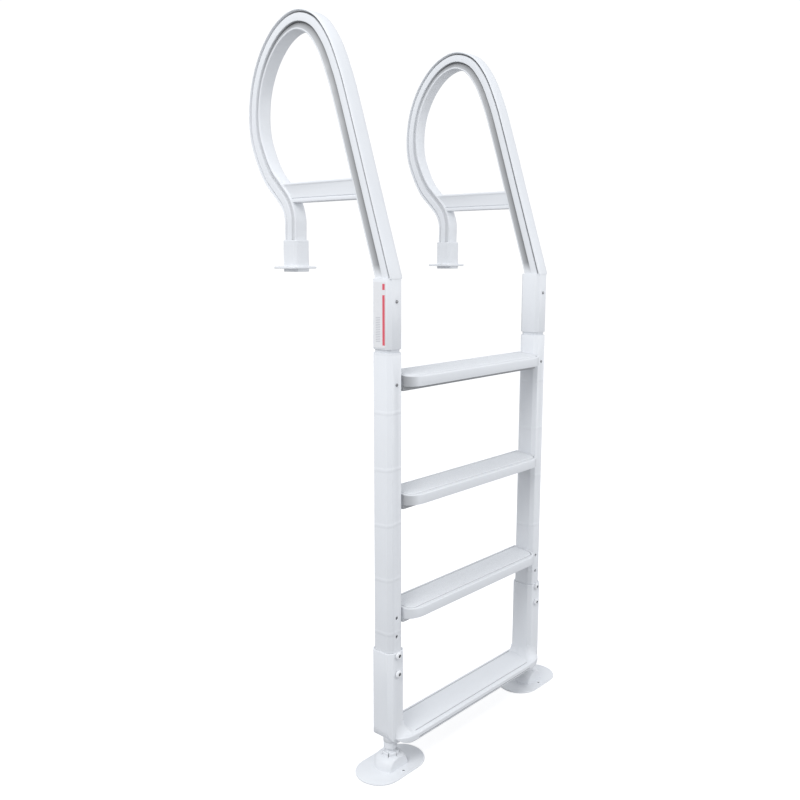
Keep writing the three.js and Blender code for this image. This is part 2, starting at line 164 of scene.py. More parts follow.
def bake_modifiers(obj):
    graph = bpy.context.evaluated_depsgraph_get()
    mesh = bpy.data.meshes.new_from_object(obj.evaluated_get(graph))
    obj.modifiers.clear()
    old = obj.data
    obj.data = mesh
    bpy.data.meshes.remove(old)
    return obj


def combine(obj, others, operation):
    for other in others:
        step = obj.modifiers.new("combine", "BOOLEAN")
        step.operation = operation
        step.solver = "EXACT"
        step.object = other
    bake_modifiers(obj)
    for other in others:
        bpy.data.objects.remove(other)
    return obj


def attach(obj, *others):
    """Puts other meshes into the piece as shells of their own."""
    work = bmesh.new()
    work.from_mesh(obj.data)
    for other in others:
        work.from_mesh(other.data)
        bpy.data.objects.remove(other)
    work.to_mesh(obj.data)
    work.free()
    return obj


def join(obj, *others):
    return combine(obj, others, "UNION")


def cut(obj, *others):
    return combine(obj, others, "DIFFERENCE")


def soften(obj, width, segments=3, angle=38):
    """Rounds the edges that are sharper than the angle."""
    step = obj.modifiers.new("edges", "BEVEL")
    step.width = width * MM
    step.segments = segments
    step.limit_method = "ANGLE"
    step.angle_limit = math.radians(angle)
    step.miter_outer = "MITER_ARC"
    return bake_modifiers(obj)


def smooth(obj, angle=32):
    obj.data.shade_smooth()
    obj.data.set_sharp_from_angle(angle=math.radians(angle))
    return obj


def rounded(points, radius, segments=4):
    """A polygon in the plane with every corner rounded."""
    result = []
    count = len(points)
    for i in range(count):
        corner = Vector(points[i])
        before = Vector(points[i - 1]) - corner
        after = Vector(points[(i + 1) % count]) - corner
        opening = before.angle(after)
        reach = min(radius / math.tan(opening / 2), before.length * 0.45, after.length * 0.45)
        a = corner + before.normalized() * reach
        b = corner + after.normalized() * reach
        for k in range(segments + 1):
            t = k / segments
            result.append((a * (1 - t) ** 2 + corner * 2 * t * (1 - t) + b * t * t)[:])
    return result


def chamfered(width, depth, chamfer, inset=0.0, radius=2.5):
    w, d = width / 2 - inset, depth / 2 - inset
    c = max(chamfer - inset * 0.6, 0.5)
    corners = [(w, -d + c), (w, d - c), (w - c, d), (-w + c, d), (-w, d - c), (-w, -d + c), (-w + c, -d),
               (w - c, -d)]
    return rounded(corners, radius)


def at_height(outline, centre, z):
    return [(centre[0] + u, centre[1] + v, z) for u, v in outline]


def tube(name, width, depth, chamfer, wall, centre, bottom, top, edge=1.2):
    """An upright chamfered tube with softened ends."""
    def ring(inset, z):
        return at_height(chamfered(width, depth, chamfer, inset), centre, z)
    inner_low = at_height(chamfered(width - 2 * wall, depth - 2 * wall, chamfer - 2), centre, bottom)
    inner_high = at_height(chamfered(width - 2 * wall, depth - 2 * wall, chamfer - 2), centre, top)
    outside = [ring(edge, bottom), ring(edge * 0.3, bottom + edge * 0.3), ring(0, bottom + edge)]
    outside += [ring(0, top - edge), ring(edge * 0.3, top - edge * 0.3), ring(edge, top)]
    return loft(name, outside + [inner_high, inner_low], closed=True)


def plug(name, width, depth, chamfer, centre, bottom, top, edge=1.2):
    """The same shape as a tube, filled."""
    def ring(inset, z):
        return at_height(chamfered(width, depth, chamfer, inset), centre, z)
    rings = [ring(edge, bottom), ring(edge * 0.3, bottom + edge * 0.3), ring(0, bottom + edge)]
    rings += [ring(0, top - edge), ring(edge * 0.3, top - edge * 0.3), ring(edge, top)]
    return loft(name, rings)


def shade(obj, depth):
    """Stores each vertex's amount of painted shade, 0 to 1, as the recess attribute; depth takes the vertex
    in millimetres and rates how far it lies in a groove, hole, corner or underside.
    """
    layer = obj.data.attributes.new("recess", "FLOAT", "POINT")
    layer.data.foreach_set("value", [ramp(depth(v.co / MM)) for v in obj.data.vertices])
    return obj


# ---- materials ----
class Nodes:
    """A material's node tree, with short ways to add and join nodes."""

    def __init__(self, name):
        self.material = bpy.data.materials.new(name)
        self.material.use_nodes = True
        self.tree = self.material.node_tree
        self.shader = self.tree.nodes["Principled BSDF"]
        self.where = self.add("ShaderNodeTexCoord").outputs["Object"]

    def add(self, kind, **settings):
        node = self.tree.nodes.new(kind)
        for key, value in settings.items():
            setattr(node, key, value)
        return node

    def link(self, output, socket):
        self.tree.links.new(output, socket)

    def noise(self, scale, detail=4.0, stretch=(1, 1, 1)):
        placing = self.add("ShaderNodeMapping")
        placing.inputs["Scale"].default_value = stretch
        self.link(self.where, placing.inputs["Vector"])
        node = self.add("ShaderNodeTexNoise")
        node.inputs["Scale"].default_value = scale
        node.inputs["Detail"].default_value = detail
        self.link(placing.outputs["Vector"], node.inputs["Vector"])
        return node.outputs["Fac"]

    def spread(self, value, low, high, out_low, out_high):
        node = self.add("ShaderNodeMapRange")
        for socket, number in zip(("From Min", "From Max", "To Min", "To Max"),
                                  (low, high, out_low, out_high)):
            node.inputs[socket].default_value = number
        self.link(value, node.inputs["Value"])
        return node.outputs["Result"]

    def blend(self, factor, first, second):
        node = self.add("ShaderNodeMix", data_type="RGBA")
        self.link(factor, node.inputs["Factor"])
        for socket, colour in ((node.inputs["A"], first), (node.inputs["B"], second)):
            if isinstance(colour, tuple):
                socket.default_value = (*colour, 1)
            else:
                self.link(colour, socket)
        return node.outputs["Result"]

    def bump(self, height, distance, strength=1.0, normal=None):
        node = self.add("ShaderNodeBump")
        node.inputs["Distance"].default_value = distance * MM
        node.inputs["Strength"].default_value = strength
        self.link(height, node.inputs["Height"])
        if normal is not None:
            self.link(normal, node.inputs["Normal"])
        return node.outputs["Normal"]


def edge_mask(look, low, high):
    geometry = look.add("ShaderNodeNewGeometry")
    return look.spread(geometry.outputs["Pointiness"], low, high, 0, 1)


def painted_recess_shade(look, clean, colour):
    """Painted shade: darkens the colour where the piece's recess value is high, standing in for shade in
    grooves, holes, corners and undersides.
    """
    depth = look.add("ShaderNodeAttribute", attribute_name="recess").outputs["Fac"]
    return look.blend(depth, clean, tuple(c * 0.16 for c in colour))


def resin(name, colour, roughness=0.42, grain=1.0, ripple=1.0):
    """Moulded white resin: slight clouding, dust specks, convex edges lightened as a painted highlight,
    painted shade from the recess value, orange-peel ripple and a fine matt grain.
    """
    look = Nodes(name)
    shade = tuple(c * 0.94 for c in colour)
    bright = tuple(min(c * 1.05, 0.96) for c in colour)
    clouds = look.blend(look.noise(5.5), shade, colour)
    specks = look.spread(look.noise(420, 2), 0.68, 0.74, 0, 0.35)
    dusted = look.blend(specks, clouds, tuple(c * 0.86 for c in colour))
    # Painted highlight: convex edges are lightened.
    edge_highlighted = look.blend(edge_mask(look, 0.53, 0.62), dusted, bright)
    # Painted shade where the recess value is high.
    look.link(painted_recess_shade(look, edge_highlighted, colour), look.shader.inputs["Base Color"])
    rough = look.spread(look.noise(38, 5), 0.3, 0.7, roughness - 0.07, roughness + 0.09)
    look.link(rough, look.shader.inputs["Roughness"])
    look.shader.inputs["Specular IOR Level"].default_value = 0.42
    wave = look.bump(look.noise(26, 2), 0.35 * ripple, 0.5)
    fine = look.bump(look.noise(900, 3), 0.06 * grain, 0.6, wave)
    look.link(fine, look.shader.inputs["Normal"])
    return look.material


def witness_resin(name, colour):
    """Extruded leg resin: the moulded look with faint level witness lines at uneven heights."""
    material = resin(name, colour, 0.4, 0.8, 0.7)
    look = Nodes.__new__(Nodes)
    look.material, look.tree = material, material.node_tree
    look.shader = look.tree.nodes["Principled BSDF"]
    look.where = look.add("ShaderNodeTexCoord").outputs["Object"]
    wave = look.add("ShaderNodeTexWave", wave_type="BANDS", bands_direction="Z")
    for socket, number in (("Scale", 2.1), ("Distortion", 1.6), ("Detail", 1.0), ("Detail Scale", 0.9)):
        wave.inputs[socket].default_value = number
    look.link(look.where, wave.inputs["Vector"])
    line = look.spread(wave.outputs["Fac"], 0.985, 1.0, 0, 1)
    old = look.shader.inputs["Normal"].links[0].from_socket
    look.link(look.bump(line, 0.8, 0.7, old), look.shader.inputs["Normal"])
    return material


def tread_resin(name, colour):
    """Tread resin: a pebbled anti-slip texture on faces that look up, with painted shade in its valleys and
    from the recess value, smooth elsewhere.
    """
    look = Nodes(name)
    geometry = look.add("ShaderNodeNewGeometry")
    split = look.add("ShaderNodeSeparateXYZ")
    look.link(geometry.outputs["Normal"], split.inputs["Vector"])
    facing_up = look.spread(split.outputs["Z"], 0.9, 0.98, 0, 1)
    shade = tuple(c * 0.96 for c in colour)
    clouds = look.blend(look.noise(7), shade, colour)
    pebbles = look.add("ShaderNodeTexVoronoi")
    pebbles.inputs["Scale"].default_value = 330
    look.link(look.where, pebbles.inputs["Vector"])
    valley = look.spread(pebbles.outputs["Distance"], 0.1, 0.6, 0, 1)
    masked = look.add("ShaderNodeMath", operation="MULTIPLY")
    look.link(valley, masked.inputs[0])
    look.link(facing_up, masked.inputs[1])
    # Painted shade: the pebble texture's valleys on upward faces are darkened.
    pebbled = look.blend(masked.outputs["Value"], clouds, tuple(c * 0.87 for c in colour))
    # Painted shade where the recess value is high.
    look.link(painted_recess_shade(look, pebbled, colour), look.shader.inputs["Base Color"])
    look.link(look.spread(facing_up, 0, 1, 0.42, 0.6), look.shader.inputs["Roughness"])
    look.shader.inputs["Specular IOR Level"].default_value = 0.4
    wave = look.bump(look.noise(24, 2), 0.3, 0.5)
    look.link(look.bump(masked.outputs["Value"], -0.45, 0.8, wave), look.shader.inputs["Normal"])
    return look.material


def steel(name):
    look = Nodes(name)
    brushed = look.noise(160, 6, (1, 1, 9))
    look.link(look.blend(brushed, (0.2, 0.2, 0.21), (0.46, 0.46, 0.47)), look.shader.inputs["Base Color"])
    look.link(look.spread(brushed, 0.3, 0.7, 0.26, 0.48), look.shader.inputs["Roughness"])
    look.shader.inputs["Metallic"].default_value = 1.0
    look.link(look.bump(brushed, 0.05), look.shader.inputs["Normal"])
    return look.material


def film(name, low, high):
    """White printed film with one plain red bar, broken near its top."""
    look = Nodes(name)
    split = look.add("ShaderNodeSeparateXYZ")
    look.link(look.where, split.inputs["Vector"])
    def band(value, start, end):
        rise = look.spread(value, start - 0.0003, start, 0, 1)
        fall = look.spread(value, end, end + 0.0003, 1, 0)
        both = look.add("ShaderNodeMath", operation="MULTIPLY")
        look.link(rise, both.inputs[0])
        look.link(fall, both.inputs[1])
        return both.outputs["Value"]
    width, height = high.y - low.y, high.z - low.z
    across = band(split.outputs["Y"], (low.y + width * 0.05) * MM, (low.y + width * 0.25) * MM)
    below = band(split.outputs["Z"], (low.z + height * 0.04) * MM, (low.z + height * 0.80) * MM)
    above = band(split.outputs["Z"], (low.z + height * 0.88) * MM, (low.z + height * 0.97) * MM)
    either = look.add("ShaderNodeMath", operation="MAXIMUM")
    look.link(below, either.inputs[0])
    look.link(above, either.inputs[1])
    bar = look.add("ShaderNodeMath", operation="MULTIPLY")
    look.link(across, bar.inputs[0])
    look.link(either.outputs["Value"], bar.inputs[1])
    paper = look.blend(look.noise(60), (0.76, 0.76, 0.775), (0.81, 0.81, 0.82))
    rules = look.add("ShaderNodeTexWave", wave_type="BANDS", bands_direction="Z")
    rules.inputs["Scale"].default_value = 75
    look.link(look.where, rules.inputs["Vector"])
    column = band(split.outputs["Y"], (low.y + width * 0.45) * MM, (low.y + width * 0.85) * MM)
    rows = band(split.outputs["Z"], (low.z + height * 0.08) * MM, (low.z + height * 0.48) * MM)
    block_area = look.add("ShaderNodeMath", operation="MULTIPLY")
    look.link(column, block_area.inputs[0])
    look.link(rows, block_area.inputs[1])
    ruled = look.add("ShaderNodeMath", operation="MULTIPLY")
    look.link(look.spread(rules.outputs["Fac"], 0.45, 0.6, 0, 0.55), ruled.inputs[0])
    look.link(block_area.outputs["Value"], ruled.inputs[1])
    printed = look.blend(ruled.outputs["Value"], paper, (0.42, 0.43, 0.46))
    look.link(look.blend(bar.outputs["Value"], printed, (0.72, 0.10, 0.14)), look.shader.inputs["Base Color"])
    look.link(look.spread(look.noise(90), 0.3, 0.7, 0.3, 0.42), look.shader.inputs["Roughness"])
    look.link(look.bump(look.noise(300), 0.03), look.shader.inputs["Normal"])
    return look.material


WHITE = (0.80, 0.815, 0.84)
STICKER_LOW, STICKER_HIGH = box_mm("sticker")
MATERIALS = {
    "handrail_resin": resin("handrail_resin", WHITE, 0.38, 0.8, 1.0),
    "leg_resin": witness_resin("leg_resin", WHITE),
    "coupler_resin": resin("coupler_resin", (0.76, 0.78, 0.81), 0.46),
    "flange_resin": resin("flange_resin", WHITE, 0.42),
    "tread_resin": tread_resin("tread_resin", WHITE),
    "frame_resin": resin("frame_resin", (0.79, 0.805, 0.83), 0.42, 1.0, 1.2),
    "foot_resin": resin("foot_resin", (0.80, 0.815, 0.84), 0.44),
    "bolt_resin": resin("bolt_resin", (0.83, 0.84, 0.86), 0.3, 0.6, 0.4),
    "screw_steel": steel("screw_steel"),
    "sticker_film": film("sticker_film", STICKER_LOW, STICKER_HIGH),
}


def place(obj, body, slot, *nodes):
    """Gives a piece the material named by slot and its body, and hides the CAD nodes that it stands for."""
    obj.name = f"{nodes[0]}_shell"
    obj.data.name = obj.name
    obj.data.materials.clear()
    obj.data.materials.append(MATERIALS[slot])
    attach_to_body(obj, body)
    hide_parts(*nodes)
    return obj


# ---- handrail ----
def rail_section(width, depth, relief):
    """The moulded rail's outline as (u across, v outwards): rims, walls, a flat band and a groove."""
    w, d = width / 2, depth / 2
    k = depth / RAIL["depth"]
    side = [
        (w - 5.0, -d), (w - 2.0, -d + 0.6), (w - 0.5, -d + 1.6), (w, -d + 3.0), (w, -d + 4.6 * k),
        (w - 0.9 * relief, -d + 5.6 * k), (w - 7.0 * relief, -d + 15.0 * k),
        (w - 9.4 * relief, -d + 19.0 * k),
        (w - 9.4 * relief, -d + 20.2 * k), (w - 4.6 * relief, -d + 21.4 * k),
        (w - 3.0 * relief, -d + 22.6 * k),
        (w - 2.6 * relief, -d + 32.0 * k), (w - 2.9 * relief, -d + 41.0 * k),
        (w - 4.4 * relief, -d + 42.0 * k),
        (w - 9.0 * relief, -d + 42.8 * k), (w - 9.4 * relief, -d + 44.2 * k),
        (w - 6.0 * relief, -d + 45.6 * k),
        (w - 1.2 * relief, -d + 47.2 * k), (w - 0.2, -d + 48.0 * k), (w, d - 2.0), (w - 0.8, d - 0.8),
        (w - 2.4, d),
    ]
    front = [(w * 0.45, d + 0.35), (0.0, d + 0.5), (-w * 0.45, d + 0.35)]
    return side + front + [(-u, v) for u, v in reversed(side)]


def rail_channel_shade():
    """How much painted shade each point of the outline gets in the moulded channels, 0 to 1, in the outline's
    order.
    """
    side = [0, 0, 0, 0, 0, 0.5, 0.78, 0.95, 1, 0.5, 0.05, 0, 0, 0.4, 0.95, 0.8, 0.15, 0, 0, 0, 0, 0]
    return side + [0, 0, 0] + side[::-1]


def rail_curve():
    """Points on the rail's middle line, as (y, z), evenly spaced."""
    def on_rail(z):
        return RAIL_SLOPE * (z - RAIL_FOOT), z
    knots = [
        on_rail(1326), on_rail(1506), on_rail(1713), (159, 1786), (198, 1864), (243, 1913), (300, 1931),
        (360, 1914),
        (416, 1866), (455, 1799), (471, 1728), (468, 1661), (447, 1603), (416, 1551), (378, 1513),
        (347, 1478),
        (POST_Y, 1441), (POST_Y, 1396), (POST_Y, POST_BOTTOM),
    ]
    knots = [Vector(k) for k in knots]
    knots = [2 * knots[0] - knots[1]] + knots + [2 * knots[-1] - knots[-2]]
    dense = []
    for p0, p1, p2, p3 in zip(knots, knots[1:], knots[2:], knots[3:]):
        t1 = math.sqrt((p1 - p0).length)
        t2 = t1 + math.sqrt((p2 - p1).length)
        t3 = t2 + math.sqrt((p3 - p2).length)
        for k in range(24):
            t = t1 + (t2 - t1) * k / 24
            a1 = p0 * ((t1 - t) / t1) + p1 * (t / t1)
            a2 = p1 * ((t2 - t) / (t2 - t1)) + p2 * ((t - t1) / (t2 - t1))
            a3 = p2 * ((t3 - t) / (t3 - t2)) + p3 * ((t - t2) / (t3 - t2))
            b1 = a1 * ((t2 - t) / t2) + a2 * (t / t2)
            b2 = a2 * ((t3 - t) / (t3 - t1)) + a3 * ((t - t1) / (t3 - t1))
            dense.append(b1 * ((t2 - t) / (t2 - t1)) + b2 * ((t - t1) / (t2 - t1)))
    dense.append(knots[-2])
    return dense


def ramp(value):
    return min(max(value, 0.0), 1.0)


def mixed(first, second, t):
    return {key: first[key] + (second[key] - first[key]) * ramp(t) for key in first}


def rail_stations():
    """(y, z, lean, section) along the rail, closer together where it bends."""
    lean = math.atan(RAIL_SLOPE)
    kink = RAIL_FOOT + (RAIL["depth"] / 2 / math.cos(lean) - LEG_DEPTH / 2) / RAIL_SLOPE
    start_y = (RAIL["depth"] - LEG_DEPTH) / 2
    mitre = dict(RAIL, depth=RAIL["depth"] / math.cos(lean / 2))
    stations = [(start_y, SOCKET_TOP - 1.5, 0.0, RAIL)]
    stations.append((start_y, kink - RAIL["depth"] / 2 * math.tan(lean / 2), lean / 2, mitre))
    path = rail_curve()
    along = [0.0]
    for a, b in zip(path, path[1:]):
        along.append(along[-1] + (b - a).length)
    total = along[-1]
    last = None
    for i, point in enumerate(path):
        ahead = path[min(i + 1, len(path) - 1)] - path[max(i - 1, 0)]
        angle = math.atan2(ahead.x, ahead.y)
        if last is not None and i < len(path) - 1:
            turned = abs(angle - last[1])
            if along[i] - last[0] < 40 and turned < math.radians(2.6):
                continue
        last = (along[i], angle)
        section = mixed(mixed(RAIL, LOOP, (along[i] - 640) / 300), POST, (along[i] - total + 260) / 120)
        stations.append((point.x, point.y, angle, section))
    return stations


def handrail(side):
    x = side * LEG_X
    stations = rail_stations()
    loops = []
    for y, z, angle, section in stations:
        outline = rail_section(**section)
        loop = []
        for u, v in outline:
            loop.append((x + u, LEG_Y + y - v * math.cos(angle), z + v * math.sin(angle)))
        loops.append(loop)
    rail = loft("handrail", loops)
    # Painted shade along the rail from the channel table, lessened on the rail's falling side down to the
    # post.
    values = []
    for y, z, angle, section in stations:
        fade = ramp((math.degrees(angle) % 360 - 100) / 60)
        values += [value * (1 - 0.75 * fade) for value in rail_channel_shade()]
    rail.data.attributes.new("recess", "FLOAT", "POINT").data.foreach_set("value", values)
    socket = plug("socket", LEG_WIDTH, LEG_DEPTH, LEG_CHAMFER, (x, LEG_Y), SOCKET_LOW.z, SOCKET_TOP, 2.4)
    bore = plug(
        "bore", LEG_WIDTH - 2 * LEG_WALL, LEG_DEPTH - 2 * LEG_WALL, LEG_CHAMFER - 2, (x, LEG_Y),
        SOCKET_LOW.z - 5, SOCKET_BORE)
    join(rail, socket)
    screw = middle("left_handrail_screw")
    cut(rail, bore, rod(2.6, (x, LEG_Y - LEG_DEPTH, screw.z), (x, LEG_Y, screw.z)))
    # No painted shade on the socket below its top.
    recess = rail.data.attributes["recess"].data
    for vertex, value in zip(rail.data.vertices, recess):
        if vertex.co.z / MM < SOCKET_TOP + 0.3:
            value.value = 0
    attach(rail, crossbar(x))
    return smooth(rail)


def inner_wall(z, falling):
    """Y just inside the wall that faces the loop's opening, on the rail or (falling) on the post."""
    path = rail_curve()
    closest = None
    for before, point in zip(path, path[1:]):
        run = point - before
        if (run.y < 0) != falling:
            continue
        normal = Vector((run.y, -run.x)).normalized()
        wall = point + normal * (LOOP["depth"] / 2 - 3.4)
        if closest is None or abs(wall.y - z) < abs(closest.y - z):
            closest = wall
    return closest.x


def crossbar(x):
    """The flat bar that joins rail and post: thin top rim, recessed face, dark groove and a lower rim."""
    w = CROSSBAR["width"] / 2
    half = (CROSSBAR["top"] - CROSSBAR["bottom"]) / 2
    side = [
        (w - 3, -half), (w - 0.8, -half + 0.8), (w, -half + 3), (w, -half + 8.5), (w - 0.6, -half + 9.2),
        (w - 4.6, -half + 9.8),
        (w - 4.6, -half + 11.6), (w - 2.6, -half + 12.4), (w - 2.4, -half + 14), (w - 2.4, half - 9),
        (w - 1.8, half - 7.4),
        (w - 0.2, half - 5.4), (w, half - 4), (w - 0.6, half - 1.2), (w - 2.2, half),
    ]
    outline = side + [(-u, v) for u, v in reversed(side)]
    centre = (CROSSBAR["top"] + CROSSBAR["bottom"]) / 2
    ends = []
    for falling in (False, True):
        ends.append([(x + u, LEG_Y + inner_wall(centre + v, falling), centre + v) for u, v in outline])
    return loft("crossbar", ends)


for name, side in SIDES.items():
    place(handrail(side), "upper_frame", "handrail_resin", f"{name}_handrail")


# ---- deck flange ----
def deck_flange(side):
    x = side * LEG_X
    centre = (x, LEG_Y + POST_Y)
    wall = 5.5
    wide = POST["width"] + 1
    deep = POST["depth"] + 1
    plate_z = FLANGE_LOW.z + 8
    size = FLANGE_HIGH.x - FLANGE_LOW.x
    plate_y = (FLANGE_LOW.y + FLANGE_HIGH.y) / 2
    def square(inset):
        h = size / 2 - inset
        return rounded([(h, -h), (h, h), (-h, h), (-h, -h)], 4.5, 5)
    rings = [(1.2, 0), (0.3, 0.4), (0, 1.2), (0, 4.6), (0.4, 5.5), (1.4, 6.0)]
    flange = loft("flange", [at_height(square(inset), (x, plate_y), plate_z + z) for inset, z in rings])
    def sleeve(grow, z):
        return at_height(chamfered(wide + 2 * wall + grow, deep + 2 * wall + grow, 7 + grow * 0.3), centre, z)
    profile = [(-2.4, 0), (-0.6, 0.6), (0, 2), (0, 13), (5, 13.1), (3.4, 14.0), (1.4, 15.6), (0.4, 18),
               (0, 22)]
    top = FLANGE_HIGH.z - FLANGE_LOW.z
    profile += [(0, top - 7), (-0.8, top - 6.6), (-0.8, top - 5.4), (0, top - 5), (0, top - 1.6),
                (-0.6, top - 0.5), (-2.4, top)]
    collar = loft("collar", [sleeve(grow, FLANGE_LOW.z + z) for grow, z in profile])
    join(flange, collar)
    bore = loft("bore",
                [at_height(chamfered(wide, deep, 5, 0, 1), centre, z)
                 for z in (FLANGE_LOW.z - 5, FLANGE_HIGH.z + 5)])
    holes = [rod(3, (x + dx, plate_y, plate_z - 5), (x + dx, plate_y, plate_z + 12)) for dx in (-31, 31)]
    sinks = [lathe("sink",
                   [(0, plate_z + 3.4), (3, plate_z + 3.4), (5.8, plate_z + 6.2), (5.8, plate_z + 7),
                    (0, plate_z + 7)],
                   (x + dx, plate_y), 32) for dx in (-31, 31)]
    screw = middle("left_flange_screw")
    pilot = rod(2.2, (x, LEG_Y + POST_Y, screw.z), (x, LEG_Y + POST_Y + 60, screw.z))
    cut(flange, bore, pilot, *holes, *sinks)
    return smooth(flange)


for name, side in SIDES.items():
    place(deck_flange(side), "upper_frame", "flange_resin", f"{name}_deck_flange")


# ---- legs and couplers ----
TREADS = [middle(f"tread_{i}") for i in (1, 2, 3)]
TREAD_LOW, TREAD_HIGH = box_mm("tread_1")
TENON_Z = [box_mm(f"left_tread_{i}_screw")[0].z + 4.2 for i in (1, 2, 3)]


def leg(name, side):
    x = side * LEG_X
    obj = tube("leg", LEG_WIDTH, LEG_DEPTH, LEG_CHAMFER, LEG_WALL, (x, LEG_Y), LEG_LOW.z, LEG_HIGH.z)
    cutters = []
    for i, z in enumerate(TENON_Z):
        inner = (x - side * LEG_WIDTH, x)
        cutters.append(block((min(inner), LEG_Y - 19.3, z - 10.3), (max(inner), LEG_Y + 19.3, z + 10.3)))
        front = LEG_Y - LEG_DEPTH if i != 1 else LEG_Y
        back = LEG_Y + LEG_DEPTH if i != 0 else LEG_Y
        cutters.append(rod(2.6, (x, front, z), (x, back, z)))
    bolt = middle(f"{name}_lower_frame_bolt")
    pitch = middle(f"{name}_upper_frame_bolt").z - bolt.z
    for k in (2, 3):
        z = bolt.z + k * pitch
        cutters.append(rod(4.5, (x, LEG_Y - LEG_DEPTH, z), (x, LEG_Y + LEG_DEPTH, z)))
    cutters.append(block((x - 4.5, LEG_Y - LEG_DEPTH, LEG_LOW.z + 12),
                         (x + 4.5, LEG_Y + LEG_DEPTH, bolt.z + pitch + 5)))
    cut(obj, *cutters)
    return smooth(obj)


def coupler(side):
    x = side * LEG_X
    low, high = COUPLER_LOW, COUPLER_HIGH
    obj = tube("coupler", high.x - low.x, high.y - low.y, LEG_CHAMFER - 2, 3, (x, LEG_Y), low.z, high.z, 1.0)
    screw = middle("left_handrail_screw")
    cut(obj, rod(2.6, (x, LEG_Y - LEG_DEPTH, screw.z), (x, LEG_Y, screw.z)))
    return smooth(obj)


for name, side in SIDES.items():
    place(leg(name, side), "upper_frame", "leg_resin", f"{name}_leg")
    place(coupler(side), "upper_frame", "coupler_resin", f"{name}_coupler")


# ---- treads ----
INNER_FACE = LEG_X - LEG_WIDTH / 2 - 0.3
TREAD_FRONT = TREAD_LOW.y
TREAD_BACK = TREAD_HIGH.y
TREAD_RISE = 9
TREAD_SKIRT = 26
TREAD_BEAM = 38
BEAM_FRONT = LEG_Y - 29


def tread_outline(half_length, front, back, corner, segments=14):
    """A tread seen from above, its front corners cut back along quarter ellipses."""
    rx, ry = corner
    points = []
    for k in range(segments + 1):
        turn = math.pi / 2 * k / segments
        points.append((half_length - rx + rx * math.sin(turn), front + ry - ry * math.cos(turn)))
    for k in range(5):
        points.append((half_length - 0.6 * k / 4, back - 1.2 + 1.2 * k / 4))
    right = points
    return right + [(-px, py) for px, py in reversed(right)]


def step_body(name, z, half_length, front, back, corner, skirt, rise, panel_front, panel_end, lip=False):
    """The standing part of a tread: skirt, rounded rim, sloping top and a raised anti-slip panel."""
    def ring(inset, height, sloped=True):
        outline = tread_outline(half_length, front + inset, back - inset,
                                (corner[0] - inset, corner[1] - inset))
        return lift(outline, height, sloped)
    def lift(outline, height, sloped):
        fall = rise / (back - front)
        return [(px, py, z + height + (fall * (py - front) if sloped else 0)) for px, py in outline]
    loops = [ring(0.8, -skirt, False), ring(0.2, -skirt + 0.2, False), ring(0, -skirt + 0.8, False)]
    if lip:
        loops += [ring(inset, height, False) for inset,
                  height in ((0, -14.2), (2, -13.6), (2, -12.2), (0, -11.2))]
    loops.append(ring(0, -3.2))
    loops += [ring(0.25, -1.2), ring(1.0, -0.3), ring(2.2, 0)]
    for inset, height in ((-2.4, 0), (-1.9, -1.8), (0, -2.0), (0.5, -0.1), (1.3, 0.5), (2.4, 0.7)):
        panel = tread_outline(panel_end - inset, panel_front + inset, back - 8 - inset, (20, 22))
        loops.append(lift(panel, height, True))
    return loft(name, loops)


def panel_groove(v, z, front, back, rise):
    """Painted shade in the narrow groove round a tread's panel: the vertices just under the sloping top."""
    below = z + rise * (v.y - front) / (back - front) - v.z
    return 0.5 * (1.4 < below < 2.6) * (v.y > front + 5)


def pockets(count, span, y, z):
    pitch = span / count
    starts = [-span / 2 + i * pitch for i in range(count)]
    return [block((s + 2, y[0], z[0]), (s + pitch - 2, y[1], z[1])) for s in starts]


TREAD_END_SHADE = (0.6, 0.5, 0.15)


def tread(index):
    z = TREADS[index].z + (TREAD_HIGH.z - TREAD_LOW.z) / 2 - TREAD_RISE
    obj = step_body("tread", z, INNER_FACE, TREAD_FRONT, TREAD_BACK, (50, 30), TREAD_SKIRT, TREAD_RISE,
                    TREAD_FRONT + 13,
                    INNER_FACE - 9)
    beam = block((-INNER_FACE, BEAM_FRONT, z - TREAD_BEAM),
                 (INNER_FACE, TREAD_BACK - 0.4, z - TREAD_SKIRT + 1.5))
    soften(beam, 2.0)
    reach = TREAD_HIGH.x
    tenons = []
    for side in (-1, 1):
        ends = sorted((side * (INNER_FACE - 6), side * reach))
        tenon = block((ends[0], LEG_Y - 19, TENON_Z[index] - 10), (ends[1], LEG_Y + 19, TENON_Z[index] + 10))
        tenons.append(soften(tenon, 1.2))
    join(obj, beam, *tenons)
    cutters = pockets(4, 2 * (INNER_FACE - 40), (BEAM_FRONT + 5, TREAD_BACK - 5), (z - TREAD_BEAM - 5, z - 5))
    cutters += pockets(4, 2 * (INNER_FACE - 60), (TREAD_FRONT + 5, BEAM_FRONT - 4),
                       (z - TREAD_SKIRT - 5, z - 5))
    for side in (-1, 1):
        x = side * LEG_X
        cutters.append(rod(2.6, (x, LEG_Y - LEG_DEPTH, TENON_Z[index]),
                           (x, LEG_Y + LEG_DEPTH, TENON_Z[index])))
    cut(obj, *cutters)

    # Painted shade: the tread's underside, the skirt's ends next to the legs and the groove round the panel.
    def depth(v):
        under = (v.z < z - TREAD_SKIRT - 1) * 0.3
        plane = z + TREAD_RISE * (v.y - TREAD_FRONT) / (TREAD_BACK - TREAD_FRONT)
        near_end = (abs(v.x) - INNER_FACE + 30) / 26 * (v.z < plane - 2.8) * (v.y < LEG_Y - 20)
        return max(under, TREAD_END_SHADE[index] * near_end,
                   panel_groove(v, z, TREAD_FRONT, TREAD_BACK, TREAD_RISE))
    shade(obj, depth)
    return smooth(obj)


for i in range(3):
    place(tread(i), "upper_frame", "tread_resin", f"tread_{i + 1}")


